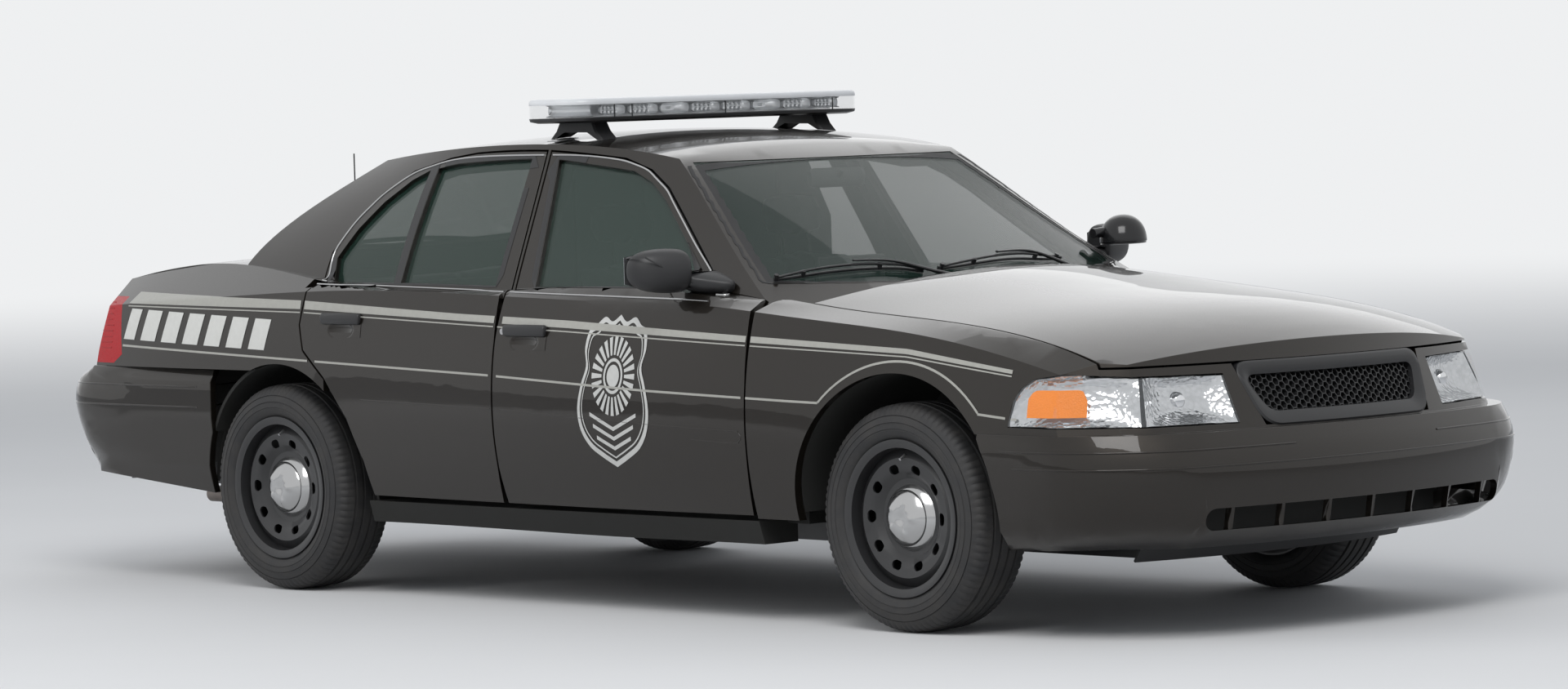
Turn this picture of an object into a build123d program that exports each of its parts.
from build123d import *
import math
import os

# Four-door patrol saloon in millimetres: X towards the nose, Y to the car's left, Z up from the ground.
# The origin is on the ground below the middle of the car's length.

# Overall sizes and the running gear
OVERALL_LENGTH = 5385
WHEELBASE = 2913
FRONT_OVERHANG = 1066
TRACK_FRONT = 1610
TRACK_REAR = 1666
NOSE_X = OVERALL_LENGTH / 2
TAIL_X = -OVERALL_LENGTH / 2
FRONT_AXLE_X = NOSE_X - FRONT_OVERHANG
REAR_AXLE_X = FRONT_AXLE_X - WHEELBASE

TYRE_RADIUS = 340
TYRE_WIDTH = 235
BEAD_RADIUS = 216
RIM_WIDTH = 190
RIM_FLANGE = 18
HUB_Z = TYRE_RADIUS
BRAKE_RADIUS = 165
SPINDLE_RADIUS = 19
KINGPIN_RADIUS = 18
KINGPIN_INSET = 72
RUNNING_CLEARANCE = 0.5

# Sheet thicknesses, gaps and shut lines
SKIN = 25
PANEL = 14
DOOR_GAP = 7
LID_GAP = 6
DOOR_INNER_Y = 835
DOOR_FRAME = 45
ROOF_SKIN = 30
SHUT_TAPER = 16
DOOR_BOTTOM_Z = 320
SILL_TOP_Z = DOOR_BOTTOM_Z - 8
FRONT_SHUT_X = 1030
B_SHUT_X = -123
B_SHUT_LEAN = 72
DOOR_HINGE_Y = 968

# Waistline and the lean of the side glass
WAIST_Z = 1010
WAIST_Y = 870
GLASS_LEAN = 27.4

# Wheel arches: centre offset from the axle, centre height, radius
FRONT_ARCH_X = FRONT_AXLE_X + 13
FRONT_ARCH_Z = 345
FRONT_ARCH_RADIUS = 425
REAR_ARCH_X = REAR_AXLE_X + 31
REAR_ARCH_Z = 320
REAR_ARCH_RADIUS = 430
FRONT_WELL_Y = 478
REAR_WELL_Y = 600

# Lids
LID_HALF_WIDTH = 792
HOOD_REAR_X = 1160
HOOD_REAR_BOW = 85
HOOD_FRONT_Z = 790
BOOT_HALF_WIDTH = 742
BOOT_FRONT_X = -1850
BACK_PANEL_FRONT_X = -1760
BOOT_DECK_LOW_Z = 966
BOOT_LOWER_Z = 742
BOOT_LOWER_HALF = 520

# Floor and bulkheads
FLOOR_Z = 300
FLOOR = 14
TUNNEL_HALF = 130
TUNNEL_Z = 430
FIREWALL_X = 1130
APRON_Y = 464
SUPPORT_X = 2300
BULKHEAD_X = -1100
TAIL_PANEL_X = -2420

# Frame rails below the floor
RAIL_Y = 420
RAIL_WIDTH = 80
RAIL_DEPTH = 90

# Front and rear body ends
LAMP_BOTTOM_Z = 614
BUMPER_TOP_Z = 600
BUMPER_LOW_Z = 262
REAR_BUMPER_TOP_Z = 726

# Lower body stations: columns are x, floor z, sill half width, waist half width, shoulder z,
# shoulder half width, edge z, edge half width, crown z
BODY_SECTIONS = (
    (TAIL_X - 20, 420, 790, 850, 860, 800, 955, 690, 985),
    (-2250, 300, 865, 918, 930, 880, 1026, 745, 1048),
    (-1800, 250, 890, 948, 955, 908, 1070, 752, 1090),
    (-1200, 240, 905, 962, 985, 925, 1032, 862, 1064),
    (-60, 240, 905, 988, 980, 930, 1003, 890, 1035),
    (900, 240, 905, 980, 955, 925, 980, 880, 1040),
    (1250, 240, 905, 964, 925, 915, 953, 800, 1046),
    (1735, 250, 890, 950, 880, 898, 915, 800, 996),
    (2160, 280, 870, 932, 800, 882, 853, 800, 950),
    (2458, 330, 850, 905, 715, 852, 764, 780, 866),
    (NOSE_X + 10, 420, 790, 850, 600, 780, 640, 700, 720),
)
WAIST_LEVEL_Z = 600

CABIN_BASE_Z = 940
# Cabin levels: columns are z, screen centre x, front corner x, front corner y, side y, rear corner x,
# rear corner y, rear window centre x
CABIN_LEVELS = (
    (CABIN_BASE_Z, 1300, 1041, 845, 905, -1653, 825, -1948),
    (1210, 790, 628, 694, 768, -1480, 690, -1640),
    (1400, 415, 360, 598, 668, -1130, 575, -1290),
    (1500, 215, 190, 545, 616, -930, 520, -1080),
)
CABIN_SIDE_X = -200

# Roof crown stations: columns are x, centre z, z at the crown's half span
CROWN_SECTIONS = (
    (-1950, 1215, 1140),
    (-1300, 1408, 1333),
    (-700, 1474, 1399),
    (-100, 1483, 1408),
    (420, 1418, 1343),
    (1300, 1150, 1075),
)
CROWN_HALF = 950

# Leaning end faces in plan: columns are z, centre x, quarter x, quarter y, corner x, corner y
NOSE_LEVELS = (
    (240, 2779, 2653, 740, 2448, 930),
    (1150, 2370, 2244, 740, 2039, 930),
)
TAIL_LEVELS = (
    (300, -2650, -2565, 700, -2455, 905),
    (1150, -2375, -2290, 700, -2180, 905),
)

# Bumpers in plan: columns are z, centre x, quarter x, quarter y, corner x, corner y, side x, side y
FRONT_BUMPER_LEVELS = (
    (BUMPER_LOW_Z, 2604, 2512, 617, 2350, 765, 2190, 885),
    (320, 2670, 2595, 645, 2460, 830, 2228, 932),
    (452, NOSE_X, 2620, 653, 2491, 855, 2240, 951),
    (556, 2684, 2615, 654, 2493, 857, 2246, 953),
    (BUMPER_TOP_Z, 2645, 2580, 640, 2458, 838, 2250, 944),
)
REAR_BUMPER_LEVELS = (
    (300, -2575, -2480, 619, -2345, 770, -2250, 895),
    (400, -2650, -2585, 640, -2475, 800, -2334, 923),
    (560, TAIL_X, -2625, 650, -2531, 838, -2368, 940),
    (680, -2684, -2624, 650, -2533, 839, -2368, 939),
    (REAR_BUMPER_TOP_Z, -2615, -2548, 630, -2440, 786, -2314, 916),
)
REAR_BUMPER_FRONT_X = -1640
REAR_BUMPER_BELLY = (
    (REAR_BUMPER_FRONT_X, 0),
    (REAR_BUMPER_FRONT_X, 302),
    (-2200, 352),
    (TAIL_X, 400),
    (TAIL_X, 0),
)

os.makedirs("parts", exist_ok=True)


def lower_body(inset):
    """Closed lower body, nose to tail, drawn in all round by inset."""
    with BuildPart() as body:
        for x, floor, sill, waist, shoulder_z, shoulder, edge_z, edge, crown in BODY_SECTIONS:
            corners = (sill - inset, waist - inset, shoulder - inset, edge - inset)
            low, knee, brow, top = floor + inset, shoulder_z - inset, edge_z - inset, crown - inset
            with BuildSketch(Plane.YZ.offset(x)):
                with BuildLine():
                    Line((-corners[0], low), (corners[0], low))
                    ThreePointArc((corners[0], low), (corners[1], WAIST_LEVEL_Z), (corners[2], knee))
                    Line((corners[2], knee), (corners[3], brow))
                    ThreePointArc((corners[3], brow), (0, top), (-corners[3], brow))
                    Line((-corners[3], brow), (-corners[2], knee))
                    ThreePointArc((-corners[2], knee), (-corners[1], WAIST_LEVEL_Z), (-corners[0], low))
                make_face()
        loft()
    return body.part


def cabin(inset):
    """Closed cabin above the waist, drawn in all round by inset."""
    with BuildPart() as tower:
        for z, screen, front, front_y, side_y, rear, rear_y, glass in CABIN_LEVELS:
            with BuildSketch(Plane.XY.offset(z)):
                with BuildLine():
                    nose, tail = (screen - inset, 0), (glass + inset, 0)
                    fl, fr = (front - inset, front_y - inset), (front - inset, inset - front_y)
                    rl, rr = (rear + inset, rear_y - inset), (rear + inset, inset - rear_y)
                    ThreePointArc(fr, nose, fl)
                    ThreePointArc(fl, (CABIN_SIDE_X, side_y - inset), rl)
                    ThreePointArc(rl, tail, rr)
                    ThreePointArc(rr, (CABIN_SIDE_X, inset - side_y), fr)
                make_face()
        loft()
    with BuildPart() as crown:
        for x, centre, edge in CROWN_SECTIONS:
            with BuildSketch(Plane.YZ.offset(x)):
                with BuildLine():
                    low = CABIN_BASE_Z - CROWN_HALF
                    Line((-CROWN_HALF, low), (CROWN_HALF, low))
                    Line((CROWN_HALF, low), (CROWN_HALF, edge - inset))
                    left, right = (CROWN_HALF, edge - inset), (-CROWN_HALF, edge - inset)
                    ThreePointArc(left, (0, centre - inset), right)
                    Line((-CROWN_HALF, edge - inset), (-CROWN_HALF, low))
                make_face()
        loft()
    with BuildPart() as shape:
        add(tower.part)
        add(crown.part, mode=Mode.INTERSECT)
    return shape.part


def plan_block(levels, back_x, inset):
    """Block whose end face is bowed in plan and leans, reaching back to back_x."""
    sign = math.copysign(1, levels[0][1])
    with BuildPart() as block:
        for z, centre, quarter, quarter_y, corner, corner_y in levels:
            with BuildSketch(Plane.XY.offset(z)):
                with BuildLine():
                    tip = centre - sign * inset
                    qx, cx, cy = quarter - sign * inset, corner - sign * inset, corner_y - inset
                    ThreePointArc((qx, -quarter_y), (tip, 0), (qx, quarter_y))
                    Line((qx, quarter_y), (cx, cy))
                    Line((cx, cy), (cx - sign * 400, cy + 60))
                    Line((cx - sign * 400, cy + 60), (back_x, cy + 60))
                    Line((back_x, cy + 60), (back_x, -cy - 60))
                    Line((back_x, -cy - 60), (cx - sign * 400, -cy - 60))
                    Line((cx - sign * 400, -cy - 60), (cx, -cy))
                    Line((cx, -cy), (qx, -quarter_y))
                make_face()
        loft(ruled=True)
    return block.part


def bumper_block(levels, back_x, inset):
    """Bumper's outer form in levels, reaching back to back_x, drawn in by inset."""
    sign = math.copysign(1, levels[0][1])
    with BuildPart() as block:
        for z, centre, quarter, quarter_y, corner, corner_y, side, side_y in levels:
            with BuildSketch(Plane.XY.offset(z)):
                with BuildLine():
                    tip, qx = centre - sign * inset, quarter - sign * inset
                    cx, cy, sy = corner - sign * inset, corner_y - inset, side_y - inset
                    ThreePointArc((qx, -quarter_y), (tip, 0), (qx, quarter_y))
                    ThreePointArc((qx, quarter_y), (cx, cy), (side, sy))
                    Line((side, sy), (back_x, sy))
                    Line((back_x, sy), (back_x, -sy))
                    Line((back_x, -sy), (side, -sy))
                    ThreePointArc((side, -sy), (cx, -cy), (qx, -quarter_y))
                make_face()
        loft(ruled=True)
    return block.part


def side_block(outline, outer_y, inner_y, taper=0):
    """Right-hand block with its outline in side view, from outer_y in to inner_y."""
    with BuildPart() as block:
        with BuildSketch(Plane.XZ.offset(outer_y)):
            with BuildLine():
                Polyline(*outline, close=True)
            make_face()
        extrude(amount=inner_y - outer_y, taper=taper)
    return block.part


LEAN_COS = math.cos(math.radians(GLASS_LEAN))
LEAN_SIN = math.sin(math.radians(GLASS_LEAN))
GLASS_PLANE = Plane(origin=(0, -WAIST_Y, WAIST_Z), x_dir=(1, 0, 0), z_dir=(0, -LEAN_COS, LEAN_SIN))


def glass_block(outline, grow, taper=0):
    """Right-hand block across the leaning side glass, its outline in side view grown by grow."""
    with BuildPart() as block:
        with BuildSketch(GLASS_PLANE.offset(30)):
            with BuildLine():
                Polyline(*((x, (z - WAIST_Z) / LEAN_COS) for x, z in outline), close=True)
            make_face()
            if grow:
                offset(amount=grow, kind=Kind.INTERSECTION)
        extrude(amount=-200, taper=taper)
    return block.part


def box_between(x_range, y_range, z_range):
    """Box from two values on each axis."""
    with BuildPart() as block:
        centre = [(low + high) / 2 for low, high in (x_range, y_range, z_range)]
        with Locations(tuple(centre)):
            Box(*(abs(high - low) for low, high in (x_range, y_range, z_range)))
    return block.part


def cross_cylinder(x, z, radius, y_range):
    """Cylinder along Y between two values of y."""
    low, high = y_range
    with BuildPart() as bar:
        with BuildSketch(Plane.XZ.offset(-low)):
            with Locations((x, z)):
                Circle(radius)
        extrude(amount=low - high)
    return bar.part


def save(part, name):
    """Label a finished piece and write it."""
    part.label = name
    export_step(part, f"parts/{name}.step")
    solids = part.solids()
    print(name, len(solids), "solids", round(part.volume / 1e3), "cm3", all(s.is_valid for s in solids))


def save_pair(part, name):
    """Write a right-hand piece and its mirror image."""
    save(part, f"{name}_right")
    save(mirror(part, about=Plane.XZ), f"{name}_left")


# Shapes that several panels share
BODY = lower_body(0)
BODY_INNER = lower_body(SKIN)
BODY_LINER = lower_body(SKIN + 2)
CABIN = cabin(0)
CABIN_ROOF_INNER = cabin(ROOF_SKIN)
CABIN_FRAME_INNER = cabin(DOOR_FRAME)
NOSE = plan_block(NOSE_LEVELS, 1000, 0)
TAIL = plan_block(TAIL_LEVELS, -1000, 0)

# Door outlines in side view, right-hand side
FRONT_DOOR_LOWER = (
    (FRONT_SHUT_X, DOOR_BOTTOM_Z),
    (B_SHUT_X, DOOR_BOTTOM_Z),
    (B_SHUT_X, WAIST_Z + 20),
    (FRONT_SHUT_X, WAIST_Z + 20),
)
FRONT_DOOR_UPPER = (
    (884, WAIST_Z - 50),
    (737, 1082),
    (520, 1247),
    (388, 1346),
    (280, 1400),
    (150, 1429),
    (B_SHUT_X - B_SHUT_LEAN, 1437),
    (B_SHUT_X, WAIST_Z - 50),
)
REAR_DOOR_LOWER = (
    (B_SHUT_X - DOOR_GAP, DOOR_BOTTOM_Z),
    (B_SHUT_X - DOOR_GAP, WAIST_Z + 20),
    (-1126, WAIST_Z + 20),
    (-1142, 880),
    (-1113, 797),
    (-1000, 711),
    (-886, 580),
    (-822, 440),
    (-800, DOOR_BOTTOM_Z),
)
REAR_DOOR_UPPER = (
    (B_SHUT_X - DOOR_GAP, WAIST_Z - 50),
    (B_SHUT_X - B_SHUT_LEAN - DOOR_GAP, 1437),
    (-560, 1436),
    (-700, 1428),
    (-886, 1398),
    (-1010, 1326),
    (-1096, 1232),
    (-1152, 1124),
    (-1140, WAIST_Z - 50),
)
FRONT_WINDOW = (
    (-33, 1010),
    (752, 1010),
    (598, 1130),
    (384, 1296),
    (300, 1346),
    (204, 1380),
    (-139, 1405),
)
REAR_WINDOW = (
    (-226, 1010),
    (-267, 1406),
    (-640, 1398),
    (-789, 1384),
    (-868, 1354),
    (-968, 1284),
    (-1048, 1196),
    (-1102, 1104),
    (-1072, 1024),
)
QUARTER_BAR = ((-706, 1000), (-744, 1000), (-790, 1410), (-744, 1410))

DOOR_TABLE = (
    # name, lower outline, upper outline, window outline, handle x, handle z
    ("front", FRONT_DOOR_LOWER, FRONT_DOOR_UPPER, FRONT_WINDOW, 20, 852),
    ("rear", REAR_DOOR_LOWER, REAR_DOOR_UPPER, REAR_WINDOW, -914, 878),
)
HANDLE_LENGTH = 184
HANDLE_HEIGHT = 40
HANDLE_PROUD = 22
HANDLE_INNER_Y = 962
MIRROR_X = (618, 742)
MIRROR_Y = (-1086, -928)
MIRROR_Z = (1000, 1132)
MIRROR_ARM_X = (676, 748)
MIRROR_ARM_Z = (1014, 1062)
MIRROR_ARM_INNER_Y = 812
MIRROR_ROUND = 38


def door_opening(lower, upper, gap):
    """Everything that a right-hand door takes out of the fixed body, with its gap."""
    with BuildPart() as block:
        with BuildSketch(Plane.XZ.offset(DOOR_HINGE_Y)):
            with BuildLine():
                Polyline(*lower, close=True)
            make_face()
            if gap:
                offset(amount=gap, kind=Kind.INTERSECTION)
        extrude(amount=DOOR_INNER_Y - 12 - DOOR_HINGE_Y, taper=SHUT_TAPER)
        with BuildSketch(Plane.XZ.offset(DOOR_HINGE_Y)):
            with BuildLine():
                Polyline(*lower, close=True)
            make_face()
            if gap:
                offset(amount=gap, kind=Kind.INTERSECTION)
        extrude(amount=60)
        add(glass_block(upper, gap, SHUT_TAPER))
    return block.part


# Windscreen and rear window outlines on their own leaning planes
SCREEN_PLANE = Plane(origin=(1190, 0, 1000), x_dir=(0, 1, 0), z_dir=(0.459, 0, 0.889))
BACKLIGHT_PLANE = Plane(origin=(-1794, 0, 1075), x_dir=(0, -1, 0), z_dir=(-0.542, 0, 0.84))


def leaning_window(plane, low_half, low_side, low_centre, top_half, top_side, top_centre):
    """Block across a bowed front or rear glass, drawn on its leaning plane."""
    with BuildPart() as block:
        with BuildSketch(plane.offset(150)):
            with BuildLine():
                ThreePointArc((-low_half, low_side), (0, low_centre), (low_half, low_side))
                Line((low_half, low_side), (top_half, top_side))
                ThreePointArc((top_half, top_side), (0, top_centre), (-top_half, top_side))
                Line((-top_half, top_side), (-low_half, low_side))
            make_face()
        extrude(amount=-420)
    return block.part


SCREEN_BLOCK = leaning_window(SCREEN_PLANE, 762, 250, 20, 566, 892, 846)
BACKLIGHT_BLOCK = leaning_window(BACKLIGHT_PLANE, 650, 196, 26, 520, 692, 580)

FRONT_DOOR_OPENING = door_opening(FRONT_DOOR_LOWER, FRONT_DOOR_UPPER, DOOR_GAP)
REAR_DOOR_OPENING = door_opening(REAR_DOOR_LOWER, REAR_DOOR_UPPER, DOOR_GAP)


def hood_outline(grow):
    """Bonnet's outline in plan, grown by grow."""
    half, rear = LID_HALF_WIDTH + grow, HOOD_REAR_X - grow
    with BuildPart() as block:
        with BuildSketch(Plane.XY.offset(HOOD_FRONT_Z - grow)):
            with BuildLine():
                ThreePointArc((rear, -half), (rear + HOOD_REAR_BOW, 0), (rear, half))
                Line((rear, half), (NOSE_X, half))
                Line((NOSE_X, half), (NOSE_X, -half))
                Line((NOSE_X, -half), (rear, -half))
            make_face()
        extrude(amount=400)
    return block.part


def boot_outline(grow):
    """Boot lid's block: deck and the rear face between the lamps, grown by grow."""
    with BuildPart() as block:
        with BuildSketch(Plane.XY.offset(BOOT_DECK_LOW_Z - grow)):
            with BuildLine():
                front, half = BOOT_FRONT_X + grow, BOOT_HALF_WIDTH + grow
                Polyline((front, -half), (front, half), (TAIL_X, half), (TAIL_X, -half), close=True)
            make_face()
        extrude(amount=200)
        with BuildSketch(Plane.XY.offset(BOOT_LOWER_Z - grow)):
            with BuildLine():
                front, half = TAIL_PANEL_X + 30, BOOT_LOWER_HALF + grow
                Polyline((front, -half), (front, half), (TAIL_X, half), (TAIL_X, -half), close=True)
            make_face()
        extrude(amount=240)
    return block.part


HOOD_BLOCK = hood_outline(0)
HOOD_OPENING = hood_outline(LID_GAP)
BOOT_BLOCK = boot_outline(0)
BOOT_OPENING = boot_outline(LID_GAP)
ARCH_FRONT = cross_cylinder(FRONT_ARCH_X, FRONT_ARCH_Z, FRONT_ARCH_RADIUS, (-1100, -FRONT_WELL_Y))
ARCH_REAR = cross_cylinder(REAR_ARCH_X, REAR_ARCH_Z, REAR_ARCH_RADIUS, (-1100, -REAR_WELL_Y))

HEADLAMP_OUTLINE = (
    (2107, 622),
    (2116, 688),
    (2142, 733),
    (2185, 761),
    (2275, 773),
    (2420, 762),
    (NOSE_X, 750),
    (NOSE_X, LAMP_BOTTOM_Z),
)
HEADLAMP_INNER_Y = 445
HEADLAMP_BLOCK = side_block(HEADLAMP_OUTLINE, 1000, HEADLAMP_INNER_Y)
TAIL_LAMP_TOP_Z = BOOT_DECK_LOW_Z - LID_GAP
TAIL_LAMP_LOW_Z = 736
TAIL_LAMP_OUTLINE = (
    (-2150, 766),
    (-2190, TAIL_LAMP_TOP_Z),
    (TAIL_X, TAIL_LAMP_TOP_Z),
    (TAIL_X, TAIL_LAMP_LOW_Z),
    (-2200, TAIL_LAMP_LOW_Z),
)
TAIL_LAMP_BLOCK = side_block(TAIL_LAMP_OUTLINE, 1000, BOOT_LOWER_HALF + LID_GAP)


def intersection_of(first, second):
    """What two closed shapes have in common."""
    with BuildPart() as common:
        add(first)
        add(second, mode=Mode.INTERSECT)
    return common.part


def mirrored(part):
    """Both hands of a right-hand shape."""
    return [part, mirror(part, about=Plane.XZ)]


NOSE_CORE = intersection_of(BODY_INNER, plan_block(NOSE_LEVELS, 0, SKIN))
TAIL_CORE = intersection_of(BODY_INNER, plan_block(TAIL_LEVELS, 0, SKIN))

# Front wings, each with its arch, below the bonnet's edge
WING_REAR_X = FRONT_SHUT_X + DOOR_GAP
WING_OUTLINE = (
    (WING_REAR_X, DOOR_BOTTOM_Z),
    (WING_REAR_X, 1200),
    (NOSE_X, 1200),
    (NOSE_X, BUMPER_TOP_Z),
    (FRONT_ARCH_X, BUMPER_TOP_Z),
    (FRONT_ARCH_X, DOOR_BOTTOM_Z),
)
with BuildPart() as wing:
    add(side_block(WING_OUTLINE, 1100, LID_HALF_WIDTH + LID_GAP))
    add(BODY, mode=Mode.INTERSECT)
    add(NOSE, mode=Mode.INTERSECT)
    add(NOSE_CORE, mode=Mode.SUBTRACT)
    add(CABIN, mode=Mode.SUBTRACT)
    add(ARCH_FRONT, mode=Mode.SUBTRACT)
    add(HEADLAMP_BLOCK, mode=Mode.SUBTRACT)
    add(FRONT_DOOR_OPENING, mode=Mode.SUBTRACT)
save_pair(wing.part, "front_wing")

# Quarter panels, from the rear door back to the lamps
QUARTER_OUTLINE = (
    (-700, SILL_TOP_Z),
    (-700, 1200),
    (TAIL_X, 1200),
    (TAIL_X, REAR_BUMPER_TOP_Z),
    (REAR_ARCH_X, REAR_BUMPER_TOP_Z),
    (REAR_ARCH_X, SILL_TOP_Z),
)
with BuildPart() as quarter:
    add(side_block(QUARTER_OUTLINE, 1100, BOOT_LOWER_HALF + LID_GAP))
    add(BODY, mode=Mode.INTERSECT)
    add(TAIL, mode=Mode.INTERSECT)
    add(TAIL_CORE, mode=Mode.SUBTRACT)
    add(CABIN, mode=Mode.SUBTRACT)
    add(ARCH_REAR, mode=Mode.SUBTRACT)
    add(TAIL_LAMP_BLOCK, mode=Mode.SUBTRACT)
    add(REAR_DOOR_OPENING, mode=Mode.SUBTRACT)
    add(BOOT_OPENING, mode=Mode.SUBTRACT)
    deck_x = (BOOT_FRONT_X, BACK_PANEL_FRONT_X)
    add(box_between(deck_x, (-BOOT_HALF_WIDTH, 0), (900, 1200)), mode=Mode.SUBTRACT)
save_pair(quarter.part, "quarter")

# Bonnet and boot lid
with BuildPart() as bonnet:
    add(HOOD_BLOCK)
    add(BODY, mode=Mode.INTERSECT)
    add(NOSE, mode=Mode.INTERSECT)
    add(NOSE_CORE, mode=Mode.SUBTRACT)
save(bonnet.part, "bonnet")

with BuildPart() as boot_lid:
    add(BOOT_BLOCK)
    add(BODY, mode=Mode.INTERSECT)
    add(TAIL, mode=Mode.INTERSECT)
    add(TAIL_CORE, mode=Mode.SUBTRACT)
save(boot_lid.part, "boot_lid")

# Door mirror: a rounded housing on a short arm from the front corner of the window
with BuildPart() as mirror_housing:
    add(box_between(MIRROR_X, MIRROR_Y, MIRROR_Z))
    fillet(mirror_housing.edges(), MIRROR_ROUND)
    add(box_between(MIRROR_ARM_X, (MIRROR_Y[1] - 2 * MIRROR_ROUND, -MIRROR_ARM_INNER_Y), MIRROR_ARM_Z))

# Doors, each a thick lower shell with a leaning window frame, a handle and, in front, a mirror
for name, lower, upper, window, handle_x, handle_z in DOOR_TABLE:
    with BuildPart() as door:
        add(door_opening(lower, upper, 0))
        add(BODY, mode=Mode.INTERSECT)
        add(box_between((-1300, 1200), (-1100, -DOOR_INNER_Y), (0, 1200)), mode=Mode.INTERSECT)
    with BuildPart() as window_frame:
        add(glass_block(upper, 0, SHUT_TAPER))
        add(CABIN, mode=Mode.INTERSECT)
        add(CABIN_FRAME_INNER, mode=Mode.SUBTRACT)
    with BuildPart() as window_cut:
        add(glass_block(window, 0))
        if name == "rear":
            add(glass_block(QUARTER_BAR, 0), mode=Mode.SUBTRACT)
    with BuildPart() as whole_door:
        add(door.part)
        add(window_frame.part)
        add(window_cut.part, mode=Mode.SUBTRACT)
        handle_y = (-HANDLE_INNER_Y - HANDLE_PROUD, -HANDLE_INNER_Y + SKIN)
        half_length, half_height = HANDLE_LENGTH / 2, HANDLE_HEIGHT / 2
        handle_xs = (handle_x - half_length, handle_x + half_length)
        add(box_between(handle_xs, handle_y, (handle_z - half_height, handle_z + half_height)))
        if name == "front":
            add(mirror_housing.part)
    save_pair(whole_door.part, f"door_{name}")
    with BuildPart() as glass:
        add(window_cut.part)
        add(cabin(16), mode=Mode.INTERSECT)
        add(cabin(21), mode=Mode.SUBTRACT)
    save_pair(glass.part, f"glass_{name}")

# Roof with its pillars, side rails and middle posts
POST_REAR_X = B_SHUT_X - 44
POST_FRONT_X = B_SHUT_X + 36
POST_INSET = DOOR_FRAME + 9
POST_OUTER_Y = DOOR_INNER_Y - 13
SILL_INNER_Y = 770
RAIL_OUTER_Y = 640
with BuildPart() as roof:
    add(CABIN)
    add(CABIN_ROOF_INNER, mode=Mode.SUBTRACT)
    for opening in mirrored(FRONT_DOOR_OPENING) + mirrored(REAR_DOOR_OPENING):
        add(opening, mode=Mode.SUBTRACT)
    add(SCREEN_BLOCK, mode=Mode.SUBTRACT)
    add(BACKLIGHT_BLOCK, mode=Mode.SUBTRACT)
    add(box_between((-2000, BOOT_FRONT_X + LID_GAP), (-900, 900), (900, 1200)), mode=Mode.SUBTRACT)
with BuildPart() as posts:
    add(cabin(POST_INSET))
    add(cabin(POST_INSET + 34), mode=Mode.SUBTRACT)
    with BuildSketch(Plane.XZ.offset(-POST_OUTER_Y), mode=Mode.PRIVATE) as post_side:
        with BuildLine():
            lean = (POST_REAR_X - B_SHUT_LEAN - 10, POST_FRONT_X - B_SHUT_LEAN - 10)
            feet = ((POST_REAR_X, CABIN_BASE_Z), (POST_FRONT_X, CABIN_BASE_Z))
            Polyline(*feet, (lean[1], 1500), (lean[0], 1500), close=True)
        make_face()
    extrude(post_side.sketch, amount=2 * POST_OUTER_Y, mode=Mode.INTERSECT)
with BuildPart() as rails:
    add(CABIN_ROOF_INNER)
    add(cabin(POST_INSET + 34), mode=Mode.SUBTRACT)
    add(box_between((-900, 250), (-RAIL_OUTER_Y, RAIL_OUTER_Y), (1340, 1500)), mode=Mode.INTERSECT)
    add(box_between((-900, 250), (-480, 480), (1340, 1500)), mode=Mode.SUBTRACT)
    for opening in mirrored(FRONT_DOOR_OPENING) + mirrored(REAR_DOOR_OPENING):
        add(opening, mode=Mode.SUBTRACT)
with BuildPart() as back_panel:
    panel_x = (BOOT_FRONT_X + LID_GAP, BACK_PANEL_FRONT_X)
    add(box_between(panel_x, (-BOOT_HALF_WIDTH, BOOT_HALF_WIDTH), (900, 1200)))
    add(BODY, mode=Mode.INTERSECT)
    add(BODY_INNER, mode=Mode.SUBTRACT)
    add(CABIN_ROOF_INNER, mode=Mode.SUBTRACT)
with BuildPart() as roof_shell:
    add(roof.part)
    add(posts.part)
    add(rails.part)
    add(back_panel.part)
    for side in (-1, 1):
        foot_y = sorted((side * SILL_INNER_Y, side * POST_OUTER_Y))
        add(box_between((POST_REAR_X, POST_FRONT_X), foot_y, (SILL_TOP_Z, CABIN_BASE_Z + 30)))
save(roof_shell.part, "roof_shell")

with BuildPart() as windscreen:
    add(SCREEN_BLOCK)
    add(cabin(3), mode=Mode.INTERSECT)
    add(cabin(10), mode=Mode.SUBTRACT)
save(windscreen.part, "windscreen")
with BuildPart() as rear_window:
    add(BACKLIGHT_BLOCK)
    add(cabin(3), mode=Mode.INTERSECT)
    add(cabin(10), mode=Mode.SUBTRACT)
save(rear_window.part, "rear_window")

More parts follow.
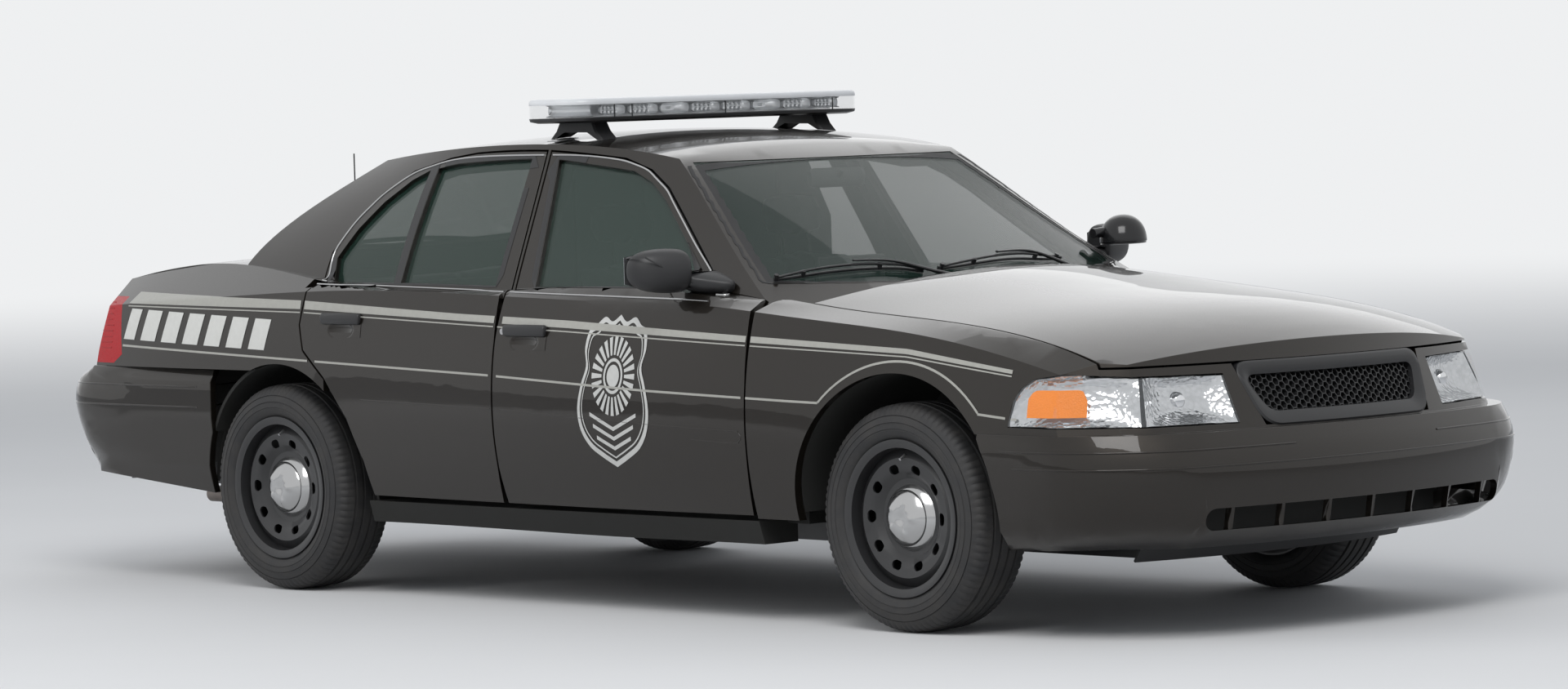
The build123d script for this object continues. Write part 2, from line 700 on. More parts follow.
# Underbody: floor with its tunnel, sills, firewall, aprons, wheel housings, boot and bulkheads
HUMP_Z = 500
REAR_FLOOR_Z = 380
KICK_X = -930
HUMP_REAR_X = -1620
BOOT_REAR_X = -2400
FLOOR_HALF = SILL_INNER_Y
COWL_SHELF_Z = CABIN_BASE_Z
HOUSING_WALL = 12
TAIL_LAMP_FRONT_X = -2330
AXLE_NOTCH_TOP_Z = 470
TOWER_HALF_X = 90
UNDERBODY_BOXES = (
    # x from, x to, y from, y to, z from, z to; each is made on both sides
    (KICK_X, FIREWALL_X, TUNNEL_HALF - FLOOR, FLOOR_HALF, FLOOR_Z, FLOOR_Z + FLOOR),
    (KICK_X, FIREWALL_X, TUNNEL_HALF - FLOOR, TUNNEL_HALF, FLOOR_Z, TUNNEL_Z),
    (KICK_X, FIREWALL_X, -1, TUNNEL_HALF, TUNNEL_Z - FLOOR, TUNNEL_Z),
    (KICK_X, KICK_X + FLOOR, TUNNEL_HALF - FLOOR, FLOOR_HALF, FLOOR_Z, HUMP_Z + FLOOR),
    (KICK_X, KICK_X + FLOOR, -1, TUNNEL_HALF, TUNNEL_Z - FLOOR, HUMP_Z + FLOOR),
    (FIREWALL_X, FIREWALL_X + FLOOR, TUNNEL_HALF - FLOOR, 822, FLOOR_Z, COWL_SHELF_Z),
    (FIREWALL_X, FIREWALL_X + FLOOR, -1, TUNNEL_HALF, TUNNEL_Z - FLOOR, COWL_SHELF_Z),
    (WING_REAR_X + 12, FIREWALL_X, 700, 822, FLOOR_Z, COWL_SHELF_Z),
    (FIREWALL_X + FLOOR, SUPPORT_X, APRON_Y, APRON_Y + FLOOR, 330, 800),
    (SUPPORT_X, SUPPORT_X + FLOOR, -1, 700, 330, 740),
    (BULKHEAD_X - FLOOR, BULKHEAD_X, -1, 760, HUMP_Z, 1000),
    (HUMP_REAR_X, KICK_X, -1, REAR_WELL_Y, HUMP_Z, HUMP_Z + FLOOR),
    (HUMP_REAR_X - FLOOR, HUMP_REAR_X, -1, REAR_WELL_Y, REAR_FLOOR_Z, HUMP_Z + FLOOR),
    (BOOT_REAR_X, HUMP_REAR_X, -1, REAR_WELL_Y, REAR_FLOOR_Z, REAR_FLOOR_Z + FLOOR),
    (BOOT_REAR_X, KICK_X, REAR_WELL_Y - FLOOR, REAR_WELL_Y, REAR_FLOOR_Z, HUMP_Z + FLOOR),
    (TAIL_LAMP_FRONT_X, BULKHEAD_X, REAR_WELL_Y - FLOOR, REAR_WELL_Y, HUMP_Z, HUMP_Z + 260),
    (BOOT_REAR_X - FLOOR, BOOT_REAR_X, -1, 700, REAR_FLOOR_Z - 60, REAR_BUMPER_TOP_Z),
    (-1640, BULKHEAD_X, -1, 640, 990, 1000),
)
with BuildPart() as housings:
    for x, z, radius, inner_y in (
        (FRONT_ARCH_X, FRONT_ARCH_Z, FRONT_ARCH_RADIUS, FRONT_WELL_Y),
        (REAR_ARCH_X, REAR_ARCH_Z, REAR_ARCH_RADIUS, REAR_WELL_Y),
    ):
        for side in (-1, 1):
            outer = sorted((side * 1000, side * (inner_y - HOUSING_WALL)))
            inner = sorted((side * 1001, side * inner_y))
            add(cross_cylinder(x, z, radius + HOUSING_WALL, outer))
            add(cross_cylinder(x, z, radius, inner), mode=Mode.SUBTRACT)
    add(BODY_LINER, mode=Mode.INTERSECT)
    add(box_between((REAR_ARCH_X, 3000), (-1000, 1000), (0, FLOOR_Z)), mode=Mode.SUBTRACT)
    add(box_between((0, 3000), (-1000, 1000), (0, FRONT_ARCH_Z)), mode=Mode.SUBTRACT)
    add(box_between((-3000, REAR_ARCH_X), (-1000, 1000), (0, FRONT_ARCH_Z)), mode=Mode.SUBTRACT)
    add(HOOD_OPENING, mode=Mode.SUBTRACT)
    for side in (-1, 1):
        corner_y = sorted((side * 880, side * 1000))
        add(box_between((-2500, REAR_BUMPER_FRONT_X + 2), corner_y, (0, 728)), mode=Mode.SUBTRACT)
SILL_OUTLINE = ((WING_REAR_X, 200), (WING_REAR_X, SILL_TOP_Z), (-826, SILL_TOP_Z), (-826, 200))
with BuildPart() as sills:
    add(side_block(SILL_OUTLINE, 1100, SILL_INNER_Y))
    add(BODY, mode=Mode.INTERSECT)
with BuildPart() as underbody:
    for x_low, x_high, y_low, y_high, z_low, z_high in UNDERBODY_BOXES:
        for side in (-1, 1):
            add(box_between(sorted((x_low, x_high)), sorted((side * y_low, side * y_high)), (z_low, z_high)))
    add(housings.part)
    for sill in mirrored(sills.part):
        add(sill)
    for panel in mirrored(wing.part):
        add(panel, mode=Mode.SUBTRACT)
    for side in (-1, 1):
        wheel_side = sorted((side * FRONT_WELL_Y, side * 1000))
        add(cross_cylinder(FRONT_ARCH_X, FRONT_ARCH_Z, FRONT_ARCH_RADIUS, wheel_side), mode=Mode.SUBTRACT)
        rear_side = sorted((side * REAR_WELL_Y, side * 1000))
        add(cross_cylinder(REAR_ARCH_X, REAR_ARCH_Z, REAR_ARCH_RADIUS, rear_side), mode=Mode.SUBTRACT)
        arm_y = sorted((side * (APRON_Y - 20), side * (FRONT_WELL_Y + 20)))
        arm_x = (FRONT_AXLE_X - TOWER_HALF_X, FRONT_AXLE_X + TOWER_HALF_X)
        add(box_between(arm_x, arm_y, (430, 570)), mode=Mode.SUBTRACT)
        axle_y = sorted((side * (REAR_WELL_Y - 20), side * (REAR_WELL_Y + 10)))
        axle_x = (REAR_AXLE_X - 60, REAR_AXLE_X + 60)
        add(box_between(axle_x, axle_y, (FLOOR_Z, AXLE_NOTCH_TOP_Z)), mode=Mode.SUBTRACT)
save(underbody.part, "underbody")

# Bumpers with their intake, fins and the nose round the lamps and grille
GRILLE_TOP_Z = 786
GRILLE_BOTTOM_Z = 606
GRILLE_TOP_HALF = 405
GRILLE_BOTTOM_HALF = 357
GRILLE_BORDER = 26
INTAKE_HALF = 640
INTAKE_LOW_Z = 318
INTAKE_HIGH_Z = 382
INTAKE_BACK_X = 2300
FIN_COUNT = 7
FIN_WIDTH = 12


def grille_block(border, front_x, back_x):
    """Block through the nose in the grille's outline, drawn in by border."""
    with BuildPart() as block:
        with BuildSketch(Plane.YZ.offset(back_x)):
            with BuildLine():
                top, low = GRILLE_TOP_HALF - border, GRILLE_BOTTOM_HALF - border
                Polyline(
                    (-low, GRILLE_BOTTOM_Z + border),
                    (low, GRILLE_BOTTOM_Z + border),
                    (top, GRILLE_TOP_Z - border),
                    (-top, GRILLE_TOP_Z - border),
                    close=True,
                )
            make_face()
        extrude(amount=front_x - back_x)
    return block.part


with BuildPart() as nose_face:
    face_half = LID_HALF_WIDTH + LID_GAP
    add(box_between((1990, NOSE_X), (-face_half, face_half), (BUMPER_TOP_Z, HOOD_FRONT_Z - LID_GAP)))
    add(BODY, mode=Mode.INTERSECT)
    add(NOSE, mode=Mode.INTERSECT)
    add(NOSE_CORE, mode=Mode.SUBTRACT)
    for lamp in mirrored(HEADLAMP_BLOCK):
        add(lamp, mode=Mode.SUBTRACT)
    add(grille_block(0, NOSE_X, 2300), mode=Mode.SUBTRACT)
with BuildPart() as front_shell:
    add(bumper_block(FRONT_BUMPER_LEVELS, 1900, 0))
    add(bumper_block(FRONT_BUMPER_LEVELS, 1800, SKIN), mode=Mode.SUBTRACT)
    add(box_between((1990, NOSE_X + 50), (-1100, 1100), (0, 1000)), mode=Mode.INTERSECT)
    for arch in mirrored(ARCH_FRONT):
        add(arch, mode=Mode.SUBTRACT)
    with BuildSketch(Plane.YZ.offset(INTAKE_BACK_X)) as intake_face:
        with Locations((0, (INTAKE_LOW_Z + INTAKE_HIGH_Z) / 2)):
            SlotOverall(2 * INTAKE_HALF, INTAKE_HIGH_Z - INTAKE_LOW_Z)
    extrude(intake_face.sketch, amount=NOSE_X - INTAKE_BACK_X + 50, mode=Mode.SUBTRACT)
with BuildPart() as ledge:
    add(bumper_block(FRONT_BUMPER_LEVELS, 1900, SKIN))
    ledge_x, ledge_z = (SUPPORT_X + FLOOR, NOSE_X), (BUMPER_TOP_Z - PANEL, BUMPER_TOP_Z)
    add(box_between(ledge_x, (-820, 820), ledge_z), mode=Mode.INTERSECT)
with BuildPart() as fins:
    with GridLocations(2 * INTAKE_HALF / FIN_COUNT, 1, FIN_COUNT, 1) as fin_places:
        spots = [place.position.X for place in fin_places.locations]
    for y in spots:
        fin_y = (y - FIN_WIDTH / 2, y + FIN_WIDTH / 2)
        add(box_between((2400, NOSE_X), fin_y, (INTAKE_LOW_Z, INTAKE_HIGH_Z)))
    add(bumper_block(FRONT_BUMPER_LEVELS, 1900, 3), mode=Mode.INTERSECT)
    add(bumper_block(FRONT_BUMPER_LEVELS, 1800, SKIN), mode=Mode.SUBTRACT)
with BuildPart() as front_bumper:
    add(nose_face.part)
    add(front_shell.part)
    add(ledge.part)
    add(fins.part)
save(front_bumper.part, "front_bumper")

with BuildPart() as rear_shell:
    add(bumper_block(REAR_BUMPER_LEVELS, -1500, 0))
    add(bumper_block(REAR_BUMPER_LEVELS, -1400, SKIN), mode=Mode.SUBTRACT)
    add(box_between((TAIL_X - 50, REAR_BUMPER_FRONT_X), (-1100, 1100), (0, 1000)), mode=Mode.INTERSECT)
    for arch in mirrored(ARCH_REAR):
        add(arch, mode=Mode.SUBTRACT)
    add(side_block(REAR_BUMPER_BELLY, 1100, -1100), mode=Mode.SUBTRACT)
with BuildPart() as rear_ledge:
    add(bumper_block(REAR_BUMPER_LEVELS, -1500, SKIN))
    ledge_z = (REAR_BUMPER_TOP_Z - PANEL, REAR_BUMPER_TOP_Z)
    add(box_between((TAIL_X, BOOT_REAR_X - FLOOR), (-860, 860), ledge_z), mode=Mode.INTERSECT)
with BuildPart() as rear_bumper:
    add(rear_shell.part)
    add(rear_ledge.part)
save(rear_bumper.part, "rear_bumper")

# Air dam below the front bumper
AIR_DAM_LEVELS = (
    (212, 2560, 2470, 600, 2310, 742, 2150, 800),
    (BUMPER_LOW_Z, 2590, 2498, 612, 2338, 757, 2180, 868),
)
AIR_DAM_WALL = 10
with BuildPart() as air_dam:
    add(bumper_block(AIR_DAM_LEVELS, 2100, 0))
    add(bumper_block(AIR_DAM_LEVELS, 2000, AIR_DAM_WALL), mode=Mode.SUBTRACT)
    add(box_between((2240, NOSE_X), (-1000, 1000), (0, 300)), mode=Mode.INTERSECT)
save(air_dam.part, "air_dam")

# Lamps
with BuildPart() as headlamp:
    add(HEADLAMP_BLOCK)
    add(BODY, mode=Mode.INTERSECT)
    add(NOSE, mode=Mode.INTERSECT)
    add(intersection_of(lower_body(65), plan_block(NOSE_LEVELS, 0, 120)), mode=Mode.SUBTRACT)
save_pair(headlamp.part, "headlamp")
with BuildPart() as tail_lamp:
    add(TAIL_LAMP_BLOCK)
    add(BODY, mode=Mode.INTERSECT)
    add(TAIL, mode=Mode.INTERSECT)
    add(intersection_of(lower_body(60), plan_block(TAIL_LEVELS, 0, 70)), mode=Mode.SUBTRACT)
save_pair(tail_lamp.part, "tail_lamp")

# Grille: a dark frame round a honeycomb
CELL_RADIUS = 19
CELL_BAR = 5
CELL_COLUMNS = 25
CELL_ROWS = 5
MESH_THICKNESS = 8
MESH_BACK_TOP = 2490
with BuildPart() as grille_frame:
    add(grille_block(0, NOSE_X, 2300))
    add(NOSE, mode=Mode.INTERSECT)
    add(plan_block(NOSE_LEVELS, 0, 60), mode=Mode.SUBTRACT)
    add(grille_block(GRILLE_BORDER, NOSE_X, 2300), mode=Mode.SUBTRACT)
MESH_LEAN = math.degrees(math.atan2(83, 191))
MESH_PLANE = Plane(
    origin=(MESH_BACK_TOP + 32, 0, (GRILLE_TOP_Z + GRILLE_BOTTOM_Z) / 2),
    x_dir=(0, 1, 0),
    z_dir=(math.cos(math.radians(MESH_LEAN)), 0, math.sin(math.radians(MESH_LEAN))),
)
MESH_HEIGHT = (GRILLE_TOP_Z - GRILLE_BOTTOM_Z - 2 * GRILLE_BORDER) / math.cos(math.radians(MESH_LEAN))
with BuildPart() as grille_mesh:
    with BuildSketch(MESH_PLANE):
        with BuildLine():
            low, top = GRILLE_BOTTOM_HALF - GRILLE_BORDER, GRILLE_TOP_HALF - GRILLE_BORDER
            high = MESH_HEIGHT / 2
            Polyline((-low, -high), (low, -high), (top, high), (-top, high), close=True)
        make_face()
        with HexLocations(CELL_RADIUS, CELL_COLUMNS, CELL_ROWS):
            RegularPolygon(CELL_RADIUS - CELL_BAR / 2, 6, mode=Mode.SUBTRACT)
    extrude(amount=MESH_THICKNESS)
with BuildPart() as grille:
    add(grille_frame.part)
    add(grille_mesh.part)
save(grille.part, "grille")

# Cowl below the windscreen
COWL_INSET = 44
with BuildPart() as cowl:
    cowl_half = LID_HALF_WIDTH + LID_GAP
    add(box_between((FIREWALL_X + FLOOR, 1262), (-cowl_half, cowl_half), (880, 1100)))
    add(lower_body(COWL_INSET), mode=Mode.INTERSECT)
    add(CABIN, mode=Mode.SUBTRACT)
    add(box_between((1100, 1262), (-1000, 1000), (0, 905)), mode=Mode.SUBTRACT)
save(cowl.part, "cowl")

# Frame rails, crossmembers and front suspension arms
RAIL_TOP_Z = FLOOR_Z
RAIL_LOW_Z = RAIL_TOP_Z - RAIL_DEPTH
RAIL_OUTLINE = (
    (2250, RAIL_LOW_Z),
    (2250, RAIL_TOP_Z),
    (-960, RAIL_TOP_Z),
    (-1110, HUMP_Z),
    (-1500, HUMP_Z),
    (-1600, REAR_FLOOR_Z),
    (-2380, REAR_FLOOR_Z),
    (-2380, REAR_FLOOR_Z - RAIL_DEPTH),
    (-1630, REAR_FLOOR_Z - RAIL_DEPTH),
    (-1530, HUMP_Z - RAIL_DEPTH),
    (-1140, HUMP_Z - RAIL_DEPTH),
    (-990, RAIL_LOW_Z),
)
ARM_Z = 214
ARM = 26
UPPER_ARM_Z = 486
CROSS_TOP_Z = 330
CROSS_LOW_Z = 268
CROSS_HIGH_Z = 296
with BuildPart() as frame:
    for side in (-1, 1):
        with BuildSketch(Plane.XZ.offset(-side * RAIL_Y - RAIL_WIDTH / 2)):
            with BuildLine():
                Polyline(*RAIL_OUTLINE, close=True)
            make_face()
        extrude(amount=RAIL_WIDTH)
        tower_y = sorted((side * 400, side * (RAIL_Y + RAIL_WIDTH / 2)))
        add(box_between((FRONT_AXLE_X - 65, FRONT_AXLE_X + 65), tower_y, (RAIL_TOP_Z - 5, 540)))
        for z, half_base, inner in ((ARM_Z, 120, RAIL_Y), (UPPER_ARM_Z, 60, RAIL_Y + 20)):
            kingpin_y = side * (TRACK_FRONT / 2 - KINGPIN_INSET)
            with BuildSketch(Plane.XY.offset(z)):
                with BuildLine():
                    Polyline(
                        (FRONT_AXLE_X - half_base, side * inner),
                        (FRONT_AXLE_X + half_base, side * inner),
                        (FRONT_AXLE_X + 30, kingpin_y),
                        (FRONT_AXLE_X - 30, kingpin_y),
                        close=True,
                    )
                make_face()
                with Locations((FRONT_AXLE_X, kingpin_y)):
                    Circle(36)
                    Circle(KINGPIN_RADIUS + RUNNING_CLEARANCE, mode=Mode.SUBTRACT)
            extrude(amount=ARM)
    for x_low, x_high, z_low, z_high in (
        (FRONT_AXLE_X - 110, FRONT_AXLE_X + 110, RAIL_LOW_Z, CROSS_TOP_Z),
        (2170, 2250, RAIL_LOW_Z, RAIL_TOP_Z),
        (620, 700, CROSS_LOW_Z, CROSS_HIGH_Z),
        (-880, -820, CROSS_LOW_Z, CROSS_HIGH_Z),
        (-2380, -2320, REAR_FLOOR_Z - RAIL_DEPTH, REAR_FLOOR_Z),
    ):
        add(box_between((x_low, x_high), (-RAIL_Y, RAIL_Y), (z_low, z_high)))
save(frame.part, "frame")

# Engine with its gearbox, as one plain block on the front crossmember
with BuildPart() as engine_block:
    add(box_between((FRONT_AXLE_X - 330, FRONT_AXLE_X + 300), (-270, 270), (CROSS_TOP_Z, 800)))
    add(box_between((720, FRONT_AXLE_X - 300), (-100, 100), (CROSS_TOP_Z - 50, CROSS_TOP_Z + 70)))
    add(box_between((620, 720), (-60, 60), (CROSS_HIGH_Z, CROSS_TOP_Z + 20)))
save(engine_block.part, "engine_block")

# Rear axle with its differential and propeller shaft
AXLE_RADIUS = 38
DIFF_RADIUS = 120
SHAFT_RADIUS = 42
with BuildPart() as rear_axle:
    half = TRACK_REAR / 2
    add(cross_cylinder(REAR_AXLE_X, HUB_Z, AXLE_RADIUS, (-half + 60, half - 60)))
    for side in (-1, 1):
        ends = sorted((side * (half - 74), side * (half - 60)))
        add(cross_cylinder(REAR_AXLE_X, HUB_Z, 74, ends))
        stub = sorted((side * (half - 60), side * (half + 44)))
        add(cross_cylinder(REAR_AXLE_X, HUB_Z, SPINDLE_RADIUS, stub))
        for low, high in ((RAIL_Y - 34, RAIL_Y + 34),):
            seat_y = sorted((side * low, side * high))
            add(box_between((REAR_AXLE_X - 40, REAR_AXLE_X + 40), seat_y, (HUB_Z, HUMP_Z - RAIL_DEPTH)))
    with Locations((REAR_AXLE_X, 0, HUB_Z)):
        Sphere(DIFF_RADIUS)
    with BuildSketch(Plane.YZ.offset(REAR_AXLE_X)):
        with Locations((0, HUB_Z)):
            Circle(SHAFT_RADIUS)
    extrude(amount=620 - REAR_AXLE_X)
save(rear_axle.part, "rear_axle")

# Fuel tank and the twin exhaust
with BuildPart() as fuel_tank:
    add(box_between((-2080, -1700), (-230, 230), (215, REAR_FLOOR_Z)))
    fillet(fuel_tank.edges().filter_by(Axis.X), 40)
save(fuel_tank.part, "fuel_tank")

PIPE_RADIUS = 28
PIPE_Z = 236
TAILPIPE_END_X = -2480
MUFFLER_HALF_WIDTH = 100
MUFFLER_HALF_HEIGHT = 58
with BuildPart() as exhaust:
    for side in (-1, 1):
        with BuildLine() as route:
            FilletPolyline(
                (1120, side * 250, PIPE_Z),
                (-930, side * 250, PIPE_Z),
                (-1110, side * 250, 446),
                (-1500, side * 250, 446),
                (-1680, side * 300, PIPE_Z),
                (TAILPIPE_END_X, side * 300, PIPE_Z),
                radius=90,
            )
        with BuildSketch(Plane(origin=(1120, side * 250, PIPE_Z), z_dir=(-1, 0, 0))):
            Circle(PIPE_RADIUS)
        sweep(path=route.wires()[0])
        with BuildSketch(Plane.YZ.offset(-780)):
            with Locations((side * 250, PIPE_Z)):
                Ellipse(MUFFLER_HALF_WIDTH, MUFFLER_HALF_HEIGHT)
        extrude(amount=560)
        for x in (-700, -300, 900):
            add(box_between((x - 15, x + 15), (side * 250 - 15, side * 250 + 15), (PIPE_Z, FLOOR_Z)))
        add(box_between((-2270, -2240), (side * 300 - 15, side * 300 + 15), (PIPE_Z, REAR_FLOOR_Z)))
save(exhaust.part, "exhaust")

# Knuckles: kingpin, upright and spindle
with BuildPart() as knuckle:
    pin_y = -(TRACK_FRONT / 2 - KINGPIN_INSET)
    with BuildSketch(Plane.XY.offset(ARM_Z - 14)):
        with Locations((FRONT_AXLE_X, pin_y)):
            Circle(KINGPIN_RADIUS)
    extrude(amount=UPPER_ARM_Z + ARM + 14 - ARM_Z + 14)
    upright_x, upright_y = (FRONT_AXLE_X - 34, FRONT_AXLE_X + 34), (pin_y - 30, pin_y + 30)
    add(box_between(upright_x, upright_y, (ARM_Z + ARM + 6, UPPER_ARM_Z - 6)))
    add(cross_cylinder(FRONT_AXLE_X, HUB_Z, 46, (pin_y - 31, pin_y)))
    add(cross_cylinder(FRONT_AXLE_X, HUB_Z, SPINDLE_RADIUS, (-(TRACK_FRONT / 2 + 44), pin_y)))
save_pair(knuckle.part, "knuckle")

# Wheels: columns are name, axle x, half track
WHEELS = (("front", FRONT_AXLE_X, TRACK_FRONT / 2), ("rear", REAR_AXLE_X, TRACK_REAR / 2))
HOLE_COUNT = 10
HOLE_CIRCLE = 148
BEAD_HALF = RIM_WIDTH / 2 + 3
FLANGE_RADIUS = BEAD_RADIUS + RIM_FLANGE
HUB_DEPTH = 46


def wheel_plane(x, half_track):
    """Plane through a right-hand wheel's centre: its first axis points outboard, its second up."""
    return Plane(origin=(x, -half_track, HUB_Z), x_dir=(0, -1, 0), z_dir=(-1, 0, 0))


for name, x, half_track in WHEELS:
    plane = wheel_plane(x, half_track)
    spin = Axis((x, -half_track, HUB_Z), (0, 1, 0))
    with BuildPart() as rim:
        with BuildSketch(plane):
            with BuildLine():
                Polyline(
                    (-BEAD_HALF - 9, FLANGE_RADIUS),
                    (-BEAD_HALF, FLANGE_RADIUS),
                    (-BEAD_HALF, BEAD_RADIUS + 1),
                    (-70, BEAD_RADIUS - 1),
                    (-58, BEAD_RADIUS - 12),
                    (40, BEAD_RADIUS - 12),
                    (56, BEAD_RADIUS - 1),
                    (BEAD_HALF, BEAD_RADIUS + 1),
                    (BEAD_HALF, FLANGE_RADIUS),
                    (BEAD_HALF + 9, FLANGE_RADIUS),
                    (BEAD_HALF + 9, FLANGE_RADIUS - 8),
                    (BEAD_HALF + 4, BEAD_RADIUS - 7),
                    (62, BEAD_RADIUS - 10),
                    (84, 178),
                    (78, 142),
                    (58, 116),
                    (HUB_DEPTH + 8, 70),
                    (HUB_DEPTH + 8, 42),
                    (HUB_DEPTH + 36, 36),
                    (HUB_DEPTH + 40, 0),
                    (HUB_DEPTH, 0),
                    (HUB_DEPTH, SPINDLE_RADIUS + RUNNING_CLEARANCE),
                    (-39, SPINDLE_RADIUS + RUNNING_CLEARANCE),
                    (-39, 48),
                    (-30, 48),
                    (-30, BRAKE_RADIUS),
                    (-18, BRAKE_RADIUS),
                    (-18, 62),
                    (HUB_DEPTH, 70),
                    (52, 112),
                    (71, 140),
                    (77, 176),
                    (56, BEAD_RADIUS - 20),
                    (-62, BEAD_RADIUS - 20),
                    (-76, BEAD_RADIUS - 8),
                    (-BEAD_HALF - 4, BEAD_RADIUS - 7),
                    (-BEAD_HALF - 9, FLANGE_RADIUS - 8),
                    close=True,
                )
            make_face()
        revolve(axis=spin)
        with BuildSketch(Plane.XZ.offset(half_track + 20)):
            with Locations((x, HUB_Z)):
                with PolarLocations(HOLE_CIRCLE, HOLE_COUNT):
                    SlotOverall(38, 27, rotation=90)
        extrude(amount=100, mode=Mode.SUBTRACT)
    save_pair(rim.part, f"wheel_{name}")
    with BuildPart() as tyre:
        with BuildSketch(plane):
            with BuildLine():
                half, fit, foot = TYRE_WIDTH / 2, BEAD_RADIUS + 2, FLANGE_RADIUS + 2
                wall, tread = TYRE_RADIUS - 36, TYRE_RADIUS - 3
                Line((-BEAD_HALF, fit), (BEAD_HALF, fit))
                Line((BEAD_HALF, fit), (BEAD_HALF, foot))
                ThreePointArc((BEAD_HALF, foot), (half, foot + 44), (half - 8, wall))
                ThreePointArc((half - 8, wall), (half - 18, TYRE_RADIUS - 12), (half - 38, tread))
                ThreePointArc((half - 38, tread), (0, TYRE_RADIUS), (38 - half, tread))
                ThreePointArc((38 - half, tread), (18 - half, TYRE_RADIUS - 12), (8 - half, wall))
                ThreePointArc((8 - half, wall), (-half, foot + 44), (-BEAD_HALF, foot))
                Line((-BEAD_HALF, foot), (-BEAD_HALF, fit))
            make_face()
        revolve(axis=spin)
    save_pair(tyre.part, f"tyre_{name}")

# Seats, each with a cushion, back and headrest
SEAT_Y = 380
SEAT_HALF = 242
SEAT_BASE_Z = FLOOR_Z + FLOOR
with BuildPart() as front_seats:
    for side in (-1, 1):
        wide = sorted((side * SEAT_Y - SEAT_HALF, side * SEAT_Y + SEAT_HALF))
        add(box_between((-120, 420), wide, (SEAT_BASE_Z + 80, 520)))
        base_y = (side * SEAT_Y - 190, side * SEAT_Y + 190)
        add(box_between((-60, 330), base_y, (SEAT_BASE_Z, SEAT_BASE_Z + 80)))
        with BuildSketch(Plane.XZ.offset(-wide[1])):
            with BuildLine():
                Polyline((-120, 460), (30, 520), (-90, 1110), (-190, 1110), close=True)
            make_face()
        extrude(amount=wide[1] - wide[0])
        with BuildSketch(Plane.XZ.offset(-side * SEAT_Y - 130)):
            with BuildLine():
                Polyline((-186, 1080), (-110, 1080), (-110, 1270), (-205, 1270), close=True)
            make_face()
        extrude(amount=260)
save(front_seats.part, "front_seats")
REAR_SEAT_HALF = 640
with BuildPart() as rear_seat:
    with BuildSketch(Plane.XZ.offset(-REAR_SEAT_HALF)):
        with BuildLine():
            Polyline(
                (-500, SEAT_BASE_Z),
                (-500, 490),
                (-880, 460),
                (-1010, 960),
                (BULKHEAD_X, 960),
                (BULKHEAD_X, HUMP_Z + FLOOR),
                (KICK_X + FLOOR, HUMP_Z + FLOOR),
                (KICK_X + FLOOR, SEAT_BASE_Z),
                close=True,
            )
        make_face()
    extrude(amount=2 * REAR_SEAT_HALF)
    add(box_between((-1100, -400), (-TUNNEL_HALF, TUNNEL_HALF), (0, TUNNEL_Z)), mode=Mode.SUBTRACT)
    for housing_y in ((-700, -580), (580, 700)):
        add(box_between((-1110, -810), housing_y, (0, 1200)), mode=Mode.SUBTRACT)
save(rear_seat.part, "rear_seat")

# Dashboard and the screen behind the front seats
with BuildPart() as dashboard_block:
    with BuildSketch(Plane.XZ.offset(-800)):
        with BuildLine():
            Polyline(
                (FIREWALL_X, 560),
                (900, 560),
                (800, 700),
                (800, 900),
                (900, 962),
                (1120, 976),
                (FIREWALL_X, 960),
                close=True,
            )
        make_face()
    extrude(amount=1600)
    add(lower_body(120), mode=Mode.INTERSECT)
    add(box_between((WING_REAR_X - 10, FIREWALL_X), (-1000, -690), (0, 1200)), mode=Mode.SUBTRACT)
    add(box_between((WING_REAR_X - 10, FIREWALL_X), (690, 1000), (0, 1200)), mode=Mode.SUBTRACT)
SCREEN_X = -330
with BuildPart() as partition:
    add(box_between((SCREEN_X, SCREEN_X + 12), (-690, 690), (SEAT_BASE_Z, 1500)))
    add(cabin(POST_INSET + 45), mode=Mode.INTERSECT)
    add(box_between((SCREEN_X, SCREEN_X + 12), (-690, 690), (SEAT_BASE_Z, 960)))
    tunnel_y = (-TUNNEL_HALF, TUNNEL_HALF)
    add(box_between((SCREEN_X - 1, SCREEN_X + 13), tunnel_y, (0, TUNNEL_Z)), mode=Mode.SUBTRACT)
save(partition.part, "partition")

# Steering wheel on its leaning shaft, at the left
WHEEL_CENTRE = (560, 380, 830)
COLUMN_TILT = 25
STEERING_RADIUS = 185
STEERING_RIM = 15
STEERING_PLANE = Plane(
    origin=WHEEL_CENTRE,
    x_dir=(0, 1, 0),
    z_dir=(-math.cos(math.radians(COLUMN_TILT)), 0, math.sin(math.radians(COLUMN_TILT))),
)
SHAFT_END = 150
with BuildPart() as dashboard:
    add(dashboard_block.part)
    with BuildSketch(STEERING_PLANE.offset(-SHAFT_END)):
        Circle(32)
    extrude(amount=-170)
save(dashboard.part, "dashboard")
with BuildPart() as steering_wheel:
    with BuildSketch(Plane(origin=WHEEL_CENTRE, x_dir=STEERING_PLANE.x_dir, z_dir=STEERING_PLANE.y_dir)):
        with Locations((STEERING_RADIUS, 0)):
            Circle(STEERING_RIM)
    revolve(axis=Axis(WHEEL_CENTRE, STEERING_PLANE.z_dir))
    with BuildSketch(STEERING_PLANE.offset(-20)):
        Rectangle(2 * STEERING_RADIUS, 50)
        Circle(70)
    extrude(amount=24)
    with BuildSketch(STEERING_PLANE.offset(-20)):
        Circle(20)
    extrude(amount=21 - SHAFT_END)
save(steering_wheel.part, "steering_wheel")

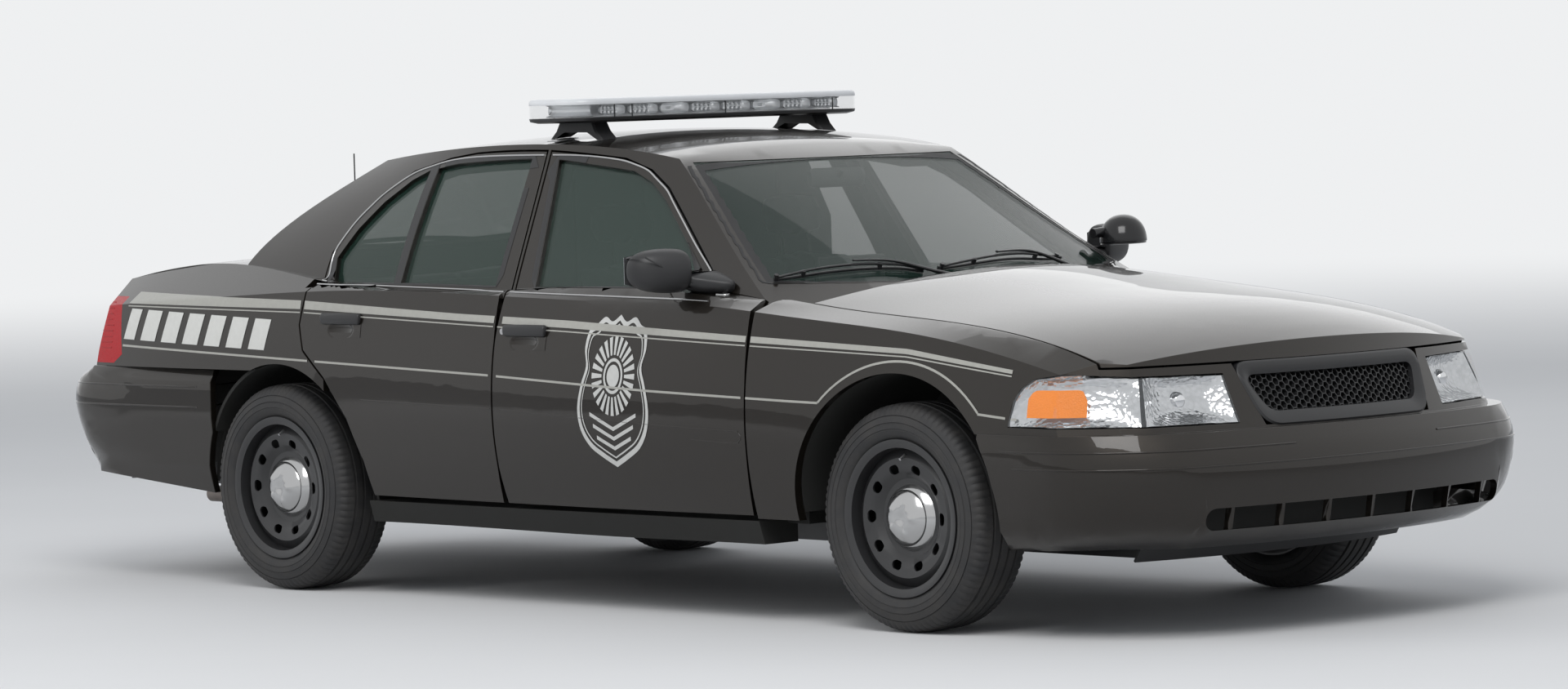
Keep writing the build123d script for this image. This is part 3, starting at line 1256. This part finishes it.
# Light bar on its feet
BAR_X = -222
BAR_HALF = 627
BAR_HALF_DEPTH = 150
BAR_LOW_Z = 1512
BAR_HIGH_Z = 1596
FOOT_Y = 485
with BuildPart() as light_bar:
    with BuildSketch(Plane.XY.offset(BAR_LOW_Z)):
        with Locations((BAR_X, 0)):
            RectangleRounded(2 * BAR_HALF_DEPTH, 2 * BAR_HALF, 70)
    extrude(amount=BAR_HIGH_Z - BAR_LOW_Z)
    chamfer(light_bar.faces().sort_by(Axis.Z)[-1].edges(), 14)
    for side in (-1, 1):
        foot_y = sorted((side * (FOOT_Y - 40), side * (FOOT_Y + 40)))
        add(box_between((BAR_X - 110, BAR_X + 110), foot_y, (1380, BAR_LOW_Z + 1)))
    add(CABIN, mode=Mode.SUBTRACT)
save(light_bar.part, "light_bar")

# Spotlight on the left pillar, its shaft through the pillar's foot
SPOT_CENTRE = (905, 862, 1112)
SPOT_RADIUS = 62
SPOT_LENGTH = 120
with BuildPart() as spotlight:
    with BuildSketch(Plane.YZ.offset(SPOT_CENTRE[0] - SPOT_LENGTH / 2)):
        with Locations((SPOT_CENTRE[1], SPOT_CENTRE[2])):
            Circle(SPOT_RADIUS)
    extrude(amount=SPOT_LENGTH)
    fillet(spotlight.edges().group_by(Axis.X)[0], 44)
    shaft_y = (SPOT_CENTRE[1] - 90, SPOT_CENTRE[1] + 10)
    add(cross_cylinder(SPOT_CENTRE[0] - 35, SPOT_CENTRE[2] - 60, 16, shaft_y))
    add(CABIN, mode=Mode.SUBTRACT)
save(spotlight.part, "spotlight")

# Wipers: each an arm and a blade lying along the foot of the windscreen
WIPER_RADIUS = 7
WIPER_POST = 60
WIPERS = (
    # pivot x, y, z; blade inner end x, y, z; blade outer end x, y, z
    ((1178, -236, 1004), (1158, -226, 1018), (952, -744, 1036)),
    ((1196, 212, 1004), (1092, -172, 1060), (1062, 214, 1074)),
)
with BuildPart() as wipers:
    for pivot, inner, outer in WIPERS:
        for start, end in ((pivot, inner), (inner, outer)):
            along = Vector(*end) - Vector(*start)
            with BuildSketch(Plane(origin=start, z_dir=along)):
                Circle(WIPER_RADIUS)
            extrude(amount=along.length)
        with Locations(inner):
            Sphere(WIPER_RADIUS)
        with Locations((pivot[0], pivot[1], pivot[2] - WIPER_POST / 2)):
            Cylinder(WIPER_RADIUS + 4, WIPER_POST)
    add(cowl.part, mode=Mode.SUBTRACT)
    add(CABIN, mode=Mode.SUBTRACT)
save(wipers.part, "wipers")

# Whip aerial on the boot lid
AERIAL_X = -2000
AERIAL_TOP_Z = 1420
with BuildPart() as antenna:
    with BuildSketch(Plane.XY.offset(1040)):
        with Locations((AERIAL_X, 0)):
            Circle(14)
    extrude(amount=46)
    with BuildSketch(Plane.XY.offset(1060)):
        with Locations((AERIAL_X, 0)):
            Circle(2.5)
    extrude(amount=AERIAL_TOP_Z - 1060)
    add(BODY, mode=Mode.SUBTRACT)
save(antenna.part, "antenna")
